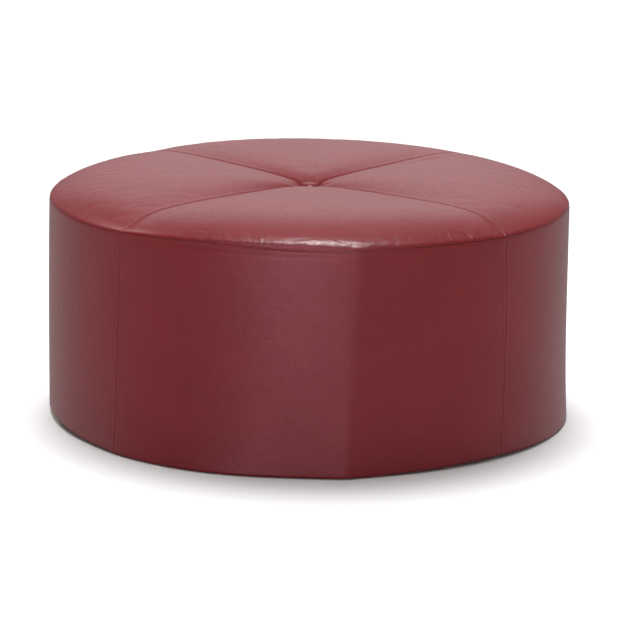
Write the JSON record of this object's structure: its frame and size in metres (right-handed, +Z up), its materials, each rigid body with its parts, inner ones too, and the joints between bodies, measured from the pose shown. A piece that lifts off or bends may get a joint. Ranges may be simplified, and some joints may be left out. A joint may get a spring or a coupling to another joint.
{
  "type": "round leather ottoman",
  "caption": "Low round drum ottoman: seamed leather cover with a domed top drawn down by a covered button, over foam on a wooden drum frame.",
  "frame": {"origin": "on the floor under the centre of the drum", "axes": "+Z up; the front panel faces -Y, +X to its right; the cover's seams stand at 45 degrees to X and Y"},
  "size_m": [0.9004, 0.9004, 0.4205],
  "materials": {
    "cover_leather": "satin",
    "foam": "matte",
    "batting": "matte",
    "plywood": "matte",
    "pine": "matte",
    "hardboard": "matte",
    "twine": "matte",
    "dust_cloth": "matte",
    "black_plastic": "satin",
    "zinc_steel": "satin"
  },
  "bodies": {
    "root": {"base_ring": "plywood", "base_screw_1": "zinc_steel", "base_screw_2": "zinc_steel", "base_screw_3": "zinc_steel", "base_screw_4": "zinc_steel", "base_screw_5": "zinc_steel", "base_screw_6": "zinc_steel", "base_screw_7": "zinc_steel", "base_screw_8": "zinc_steel", "button_back": "zinc_steel", "button_cover": "cover_leather", "button_shell": "zinc_steel", "crown_foam": "foam", "deck": "plywood", "deck_screw_1": "zinc_steel", "deck_screw_2": "zinc_steel", "deck_screw_3": "zinc_steel", "deck_screw_4": "zinc_steel", "deck_screw_5": "zinc_steel", "deck_screw_6": "zinc_steel", "deck_screw_7": "zinc_steel", "deck_screw_8": "zinc_steel", "deck_stretcher_left": "pine", "deck_stretcher_right": "pine", "dust_cover": "dust_cloth", "glide_1": "black_plastic", "glide_2": "black_plastic", "glide_3": "black_plastic", "glide_4": "black_plastic", "post_1": "pine", "post_2": "pine", "post_3": "pine", "post_4": "pine", "post_5": "pine", "post_6": "pine", "post_7": "pine", "post_8": "pine", "seat_foam": "foam", "side_foam_wrap": "foam", "side_panel_back": "cover_leather", "side_panel_front": "cover_leather", "side_panel_left": "cover_leather", "side_panel_right": "cover_leather", "skin_panel_1": "hardboard", "skin_panel_2": "hardboard", "skin_panel_3": "hardboard", "skin_panel_4": "hardboard", "stretcher_screw_1": "zinc_steel", "stretcher_screw_2": "zinc_steel", "stretcher_screw_3": "zinc_steel", "stretcher_screw_4": "zinc_steel", "top_batting": "batting", "top_panel_back": "cover_leather", "top_panel_front": "cover_leather", "top_panel_left": "cover_leather", "top_panel_right": "cover_leather", "tufting_twine": "twine", "twine_knot": "twine", "twine_toggle": "black_plastic"}
  },
  "joints": []
}
